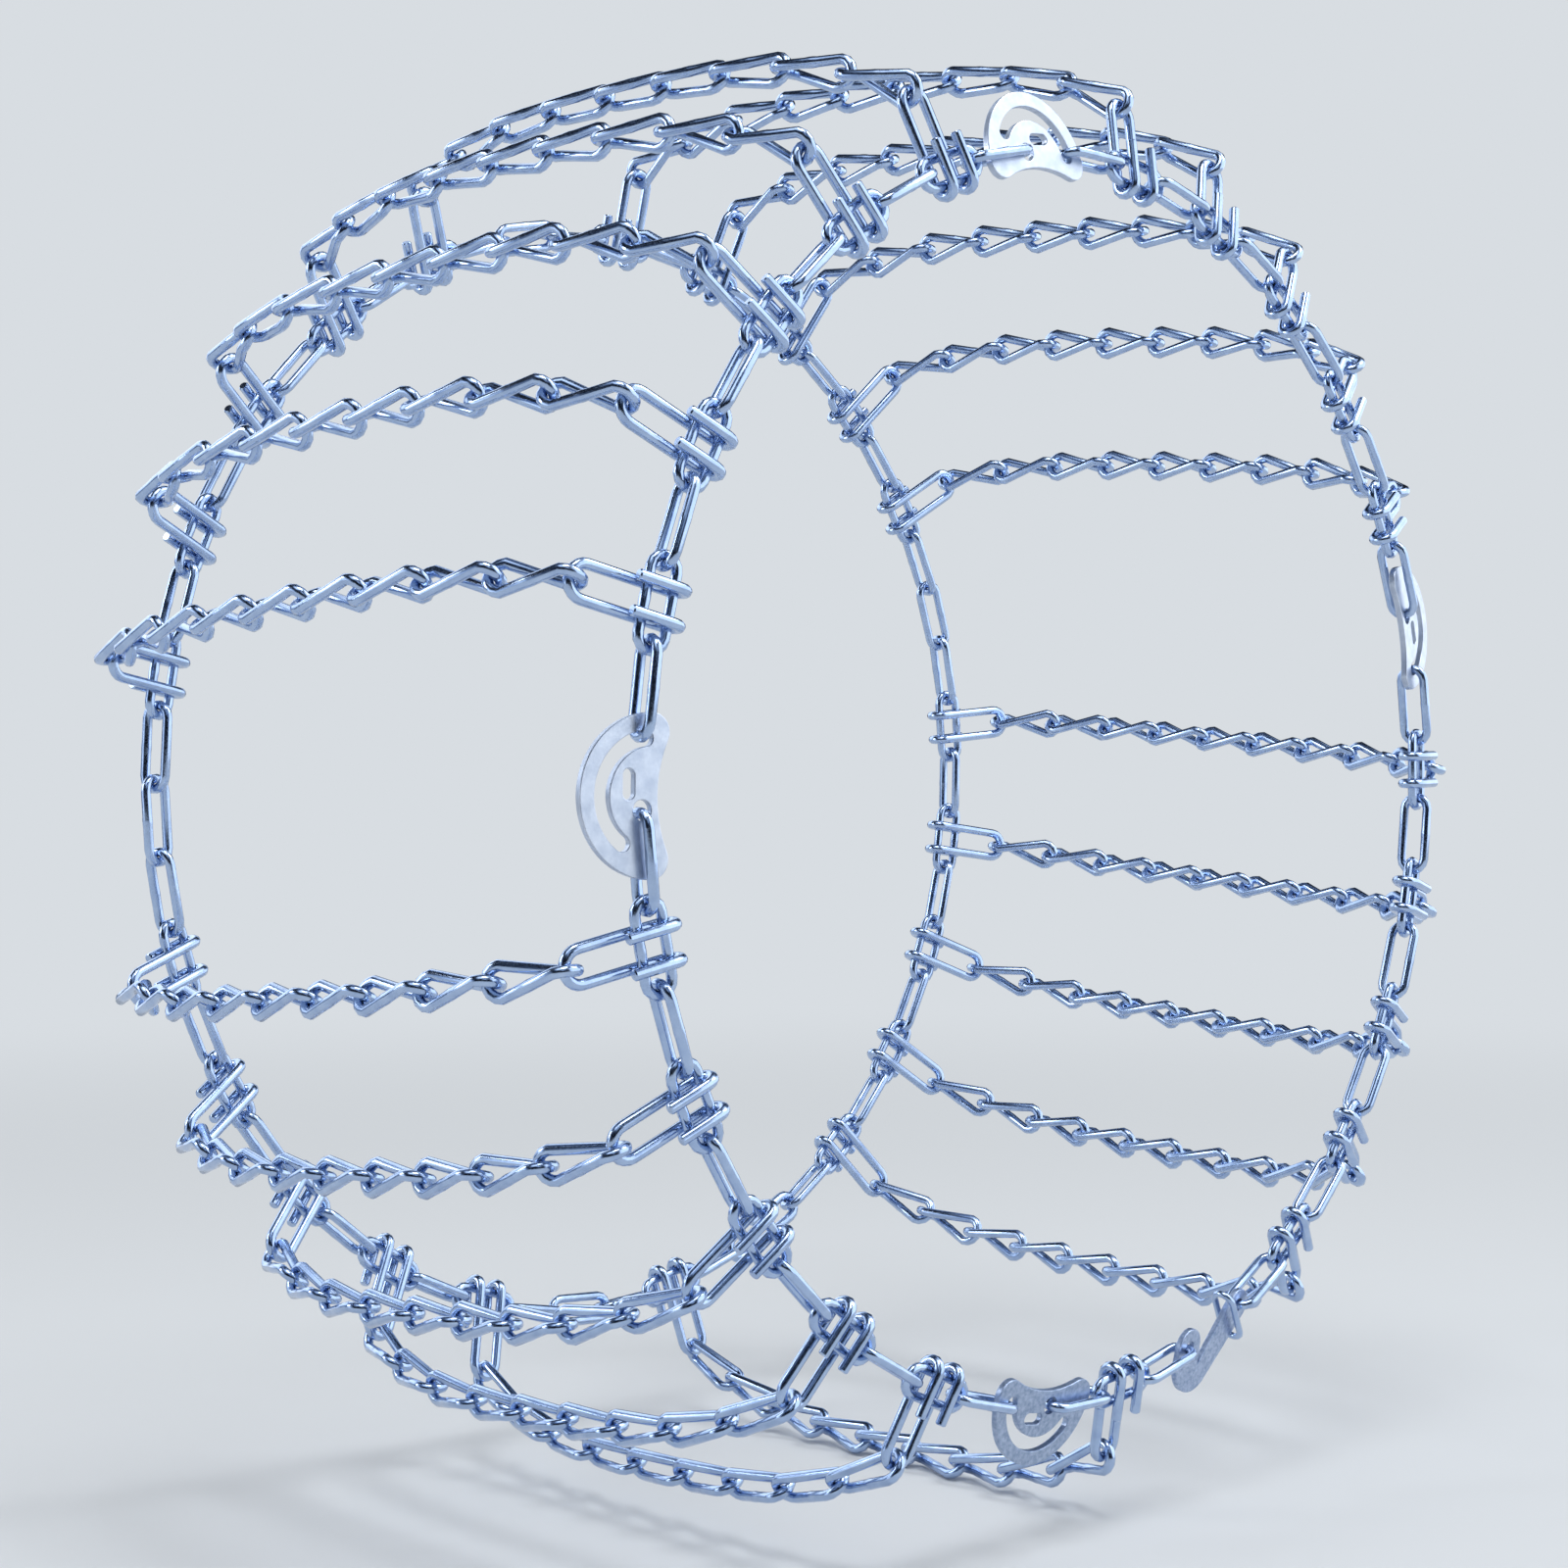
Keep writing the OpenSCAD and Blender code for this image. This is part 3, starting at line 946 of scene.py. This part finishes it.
@dataclass
class Plates:
    """The stamped cams and the lever plate, with their edges rounded."""

    frame: dict[str, Any]
    dresser: Dresser
    edge_mm: float = 0.5
    seam_mm: float = 0.04
    flat_deg: float = 1.0
    rim_deg: float = 60.0
    sharp_deg: float = 20.0

    def build(self) -> None:
        """Builds the four cams and the lever."""
        for cam in ("cam_top", "cam_left", "cam_right"):
            self.dresser.dress(self._stamped(cam), CAM_ZINC, cam, cam)
        # The bottom cam gets its zinc darker than the other cams: painted shade.
        self.dresser.dress(self._stamped("cam_bottom"), BOTTOM_CAM_PAINTED_SHADE, "cam_bottom", "cam_bottom")
        self.dresser.dress(self._stamped("lever_hook"), LEVER_ZINC, "lever", "lever_hook")

    def _stamped(self, node: str) -> bpy.types.Object:
        """Copies a plate's solid and rounds its edges.

        Args:
            node: The plate's solid.

        Returns:
            The piece.
        """
        bm = bmesh.new()
        bm.from_mesh(self.frame["nodes"][node].data)
        bmesh.ops.remove_doubles(bm, verts=bm.verts, dist=self.seam_mm * MM)
        bmesh.ops.dissolve_degenerate(bm, dist=self.seam_mm * MM, edges=bm.edges)
        flat = math.radians(self.flat_deg)
        bmesh.ops.dissolve_limit(bm, angle_limit=flat, verts=bm.verts, edges=bm.edges)
        rims = [e for e in bm.edges if e.calc_face_angle(0.0) > math.radians(self.rim_deg)]
        bmesh.ops.bevel(
            bm,
            geom=rims,
            offset=self.edge_mm * MM,
            offset_type="OFFSET",
            affect="EDGES",
            segments=2,
            profile=0.5,
            material=-1,
            clamp_overlap=True,
        )
        for edge in bm.edges:
            edge.smooth = edge.calc_face_angle(0.0) < math.radians(self.sharp_deg)
        piece = bpy.data.objects.new(f"{node}_plate", finish_mesh(bm, f"{node}_plate"))
        bpy.context.scene.collection.objects.link(piece)
        return piece


@dataclass
class KeeperRing:
    """The loose wire ring that locks the lever's arm."""

    net: Net
    shapes: LinkShapes
    dresser: Dresser
    lever_thick: float = 3.6
    lever_arm_w: float = 20.0
    lever_heel_r: float = 20.0
    lever_hole_d: float = 8.4
    wire_d: float = 4.0
    clear: float = 2.5
    heel_shift: tuple[float, float] = (-4.8, 11.0)
    share: float = 0.2
    lean: float = 3.0

    def build(self) -> None:
        """Builds the ring round the lever's arm."""
        net = self.net
        bias = (self.lever_hole_d - net.side_wire_d) / 2 - net.wire_room(self.lever_thick)
        reach = net.lever_span / 2 - (net.side_wire_d + net.link_gap) / 2 - bias
        arm_end = Vector((-reach, 0, 0))
        run = Vector((reach + self.heel_shift[0], self.heel_shift[1], 0)) - arm_end
        middle = arm_end + self.share * run
        arm = self.lever_arm_w + self.share * (2 * self.lever_heel_r - self.lever_arm_w)
        width = self.lever_thick + 2 * self.clear + self.wire_d
        ring = self.shapes.flat_link(arm + width - self.wire_d - net.link_gap, width, self.wire_d)
        turn = math.atan2(run.y, run.x) + math.radians(self.lean)
        place = (
            net.on_ring(net.station_angle(net.lever_station), Side.OUTER, net.lever_mid_r)
            @ Matrix.Translation(middle * MM)
            @ Matrix.Rotation(turn, 4, "Z")
            @ Matrix.Rotation(math.pi / 2, 4, "Y")
            @ Matrix.Rotation(math.pi / 2, 4, "Z")
        )
        self.dresser.dress(gather("keeper_ring_wire", [(ring, place)]), WIRE_ZINC, "keeper", "keeper_ring")


# ------------------------------------------------------------------- studio


@dataclass(frozen=True)
class SoftBox:
    """A studio lamp that looks at the middle of the net."""

    name: str
    place: tuple[float, float, float]
    size: tuple[float, float]
    power: float
    colour: str = "#ffffff"

    def build(self) -> None:
        """Adds the lamp."""
        light = bpy.data.lights.new(self.name, "AREA")
        light.shape = "RECTANGLE"
        light.size, light.size_y = self.size
        light.energy = self.power
        light.color = linear(self.colour)[:3]
        lamp = bpy.data.objects.new(self.name, light)
        lamp.location = self.place
        lamp.rotation_euler = (-Vector(self.place)).to_track_quat("-Z", "Y").to_euler()
        bpy.context.scene.collection.objects.link(lamp)


@dataclass(frozen=True)
class Card:
    """A round card of the tent: pale where its gain lifts the tone, else dark."""

    towards: tuple[float, float, float]
    core_deg: float
    rim_deg: float
    gain: float


@dataclass(frozen=True)
class MirrorTent:
    """A ball round the set, mottled pale and dark, that only mirror rays see.

    Round wire shows a thin image of all that stands round it. Pale patches between
    dark ones give it the white lines and dark cores of plated wire.
    """

    radius: float = 6.0
    patch: float = 1.5
    patch_detail: float = 1.0
    patch_roughness: float = 0.4
    strength: float = 2.0
    stops: tuple[tuple[float, str], ...] = (
        (0.38, "#080b12"),
        (0.46, "#27313f"),
        (0.52, "#6b788b"),
        (0.57, "#a3b0c2"),
        (0.64, "#e2e8ef"),
    )
    cards: tuple[Card, ...] = (
        Card((0.70, -0.71, 0.14), 30.0, 50.0, 0.24),
        Card((0.0, -0.25, 0.97), 26.0, 50.0, 0.10),
        Card((-0.68, 0.72, 0.15), 20.0, 60.0, 0.04),
        Card((-0.74, -0.67, 0.01), 20.0, 42.0, -0.12),
    )

    def build(self) -> None:
        """Adds the tent."""
        bm = bmesh.new()
        bmesh.ops.create_icosphere(bm, subdivisions=4, radius=self.radius)
        bmesh.ops.reverse_faces(bm, faces=bm.faces)
        tent = bpy.data.objects.new("mirror_tent", finish_mesh(bm, "mirror_tent"))
        bpy.context.scene.collection.objects.link(tent)
        tent.visible_camera = tent.visible_diffuse = tent.visible_shadow = False
        material = bpy.data.materials.new("mirror_tent")
        material.use_nodes = True
        tree = material.node_tree
        tree.nodes.clear()
        place = add_node(tree, "ShaderNodeTexCoord").outputs["Object"]
        tone = add_node(
            tree,
            "ShaderNodeTexNoise",
            {
                "Vector": place,
                "Scale": self.patch / self.radius,
                "Detail": self.patch_detail,
                "Roughness": self.patch_roughness,
            },
        ).outputs["Fac"]
        way = add_node(tree, "ShaderNodeVectorMath", {0: place}, operation="NORMALIZE").outputs[0]
        for card in self.cards:
            tone = self._lay(tree, card, way, tone)
        colour = add_ramp(tree, tone, self.stops)
        glow = add_node(tree, "ShaderNodeEmission", {"Color": colour, "Strength": self.strength})
        add_node(tree, "ShaderNodeOutputMaterial", {"Surface": glow.outputs[0]})
        tent.data.materials.append(material)
        tent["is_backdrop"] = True

    @staticmethod
    def _lay(
        tree: bpy.types.NodeTree, card: Card, way: bpy.types.NodeSocket, tone: bpy.types.NodeSocket
    ) -> bpy.types.NodeSocket:
        """Lays a card over the tent's tone.

        Args:
            tree: Node tree of the tent.
            card: The card.
            way: Direction from the middle of the tent.
            tone: Tone so far.

        Returns:
            The tone with the card.
        """
        towards = tuple(Vector(card.towards).normalized())
        dot = add_node(tree, "ShaderNodeVectorMath", {0: way, 1: towards}, operation="DOT_PRODUCT")
        lift = add_node(
            tree,
            "ShaderNodeMapRange",
            {
                "Value": dot.outputs["Value"],
                "From Min": math.cos(math.radians(card.rim_deg)),
                "From Max": math.cos(math.radians(card.core_deg)),
                "To Max": card.gain,
            },
            interpolation_type="SMOOTHSTEP",
        ).outputs["Result"]
        return add_node(tree, "ShaderNodeMath", {0: tone, 1: lift}, operation="ADD").outputs[0]


@dataclass
class Studio:
    """Pale floor, soft lamps and the camera at the photograph's angle."""

    pale: str = "#d8dde2"
    azimuth: float = -47.37
    elevation: float = 0.75
    distance: float = 1.794
    lens: float = 67.9
    shift: tuple[float, float] = (-0.0284, -0.0045)
    sensor_mm: float = 36.0
    floor_radius: float = 30.0
    floor_sides: int = 96
    fade_start: float = 0.7
    fade_end: float = 3.2
    fill_strength: float = 0.5
    lamps: tuple[SoftBox, ...] = (
        SoftBox("key_top_right", (1.8, -1.5, 3.0), (1.0, 1.6), 45.0),
        SoftBox("top", (-0.6, -0.8, 3.2), (1.2, 1.6), 40.0),
        SoftBox("rim_back", (-2.6, 2.2, 1.4), (0.8, 1.6), 25.0),
    )
    tent: MirrorTent = MirrorTent()

    def build(self) -> None:
        """Builds floor, world, lamps and camera."""
        self._floor()
        self._world()
        for item in (*self.lamps, self.tent):
            item.build()
        self._camera()
        bpy.context.scene.view_settings.view_transform = "Standard"

    def _floor(self) -> None:
        """Lays the pale floor under the net; far from it the surround takes over."""
        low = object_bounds()[0][2]
        bm = bmesh.new()
        bmesh.ops.create_circle(
            bm, cap_ends=True, segments=self.floor_sides, radius=self.floor_radius
        )
        bmesh.ops.translate(bm, vec=(0, 0, low), verts=bm.verts)
        floor = bpy.data.objects.new("floor", finish_mesh(bm, "floor"))
        bpy.context.scene.collection.objects.link(floor)
        material = bpy.data.materials.new("pale_studio_floor")
        material.use_nodes = True
        tree = material.node_tree
        tree.nodes.clear()
        place = add_node(tree, "ShaderNodeTexCoord").outputs["Object"]
        far = add_node(tree, "ShaderNodeVectorMath", {0: place}, operation="LENGTH").outputs["Value"]
        fade = add_node(
            tree,
            "ShaderNodeMapRange",
            {"Value": far, "From Min": self.fade_start, "From Max": self.fade_end},
            interpolation_type="SMOOTHSTEP",
        ).outputs["Result"]
        shares = {0: self._seen(tree), 1: fade}
        seen = add_node(tree, "ShaderNodeMath", shares, operation="MULTIPLY").outputs[0]
        matt = add_node(tree, "ShaderNodeBsdfDiffuse", {"Color": linear(self.pale)})
        glow = add_node(tree, "ShaderNodeEmission", {"Color": linear(self.pale), "Strength": 1.0})
        mix = add_node(tree, "ShaderNodeMixShader", {0: seen, 1: matt.outputs[0], 2: glow.outputs[0]})
        add_node(tree, "ShaderNodeOutputMaterial", {"Surface": mix.outputs[0]})
        floor.data.materials.append(material)
        floor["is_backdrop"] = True

    @staticmethod
    def _seen(tree: bpy.types.NodeTree) -> bpy.types.NodeSocket:
        """Adds a test for rays of the camera and of mirrors.

        Args:
            tree: Node tree to add to.

        Returns:
            Socket that is 1 for such rays and 0 for all others.
        """
        path = add_node(tree, "ShaderNodeLightPath").outputs
        bounced = {0: path["Is Glossy Ray"], 1: path["Is Transmission Ray"]}
        mirror = add_node(tree, "ShaderNodeMath", bounced, operation="MAXIMUM")
        both = {0: path["Is Camera Ray"], 1: mirror.outputs[0]}
        return add_node(tree, "ShaderNodeMath", both, operation="MAXIMUM").outputs[0]

    def _world(self) -> None:
        """Gives the pale surround that the camera sees, and a soft fill for the rest."""
        world = bpy.data.worlds.new("pale_studio")
        bpy.context.scene.world = world
        world.use_nodes = True
        tree = world.node_tree
        tree.nodes.clear()
        white = {"Color": linear("#ffffff"), "Strength": self.fill_strength}
        soft = add_node(tree, "ShaderNodeBackground", white)
        pale = add_node(tree, "ShaderNodeBackground", {"Color": linear(self.pale), "Strength": 1.0})
        layers = {0: self._seen(tree), 1: soft.outputs[0], 2: pale.outputs[0]}
        mix = add_node(tree, "ShaderNodeMixShader", layers)
        add_node(tree, "ShaderNodeOutputWorld", {"Surface": mix.outputs[0]})

    def _camera(self) -> None:
        """Sets the camera where the photograph was taken from."""
        a, e = math.radians(self.azimuth), math.radians(self.elevation)
        back = Vector((math.sin(a) * math.cos(e), -math.cos(a) * math.cos(e), math.sin(e)))
        data = bpy.data.cameras.new("camera")
        data.sensor_width = self.sensor_mm
        data.lens = self.lens
        data.shift_x, data.shift_y = self.shift
        camera = bpy.data.objects.new("camera", data)
        camera.location = back * self.distance
        camera.rotation_euler = back.to_track_quat("Z", "Y").to_euler()
        bpy.context.scene.collection.objects.link(camera)
        bpy.context.scene.camera = camera


def main() -> None:
    """Builds the net's pieces and the studio round them."""
    logging.basicConfig(level=logging.INFO, format="%(message)s")
    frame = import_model()
    net = Net()
    shapes = LinkShapes(net)
    dresser = Dresser()
    SideChains(net, shapes, dresser).build()
    CrossChains(net, shapes, dresser).build()
    Plates(frame, dresser).build()
    KeeperRing(net, shapes, dresser).build()
    Studio().build()


if __name__ == "__main__":
    main()
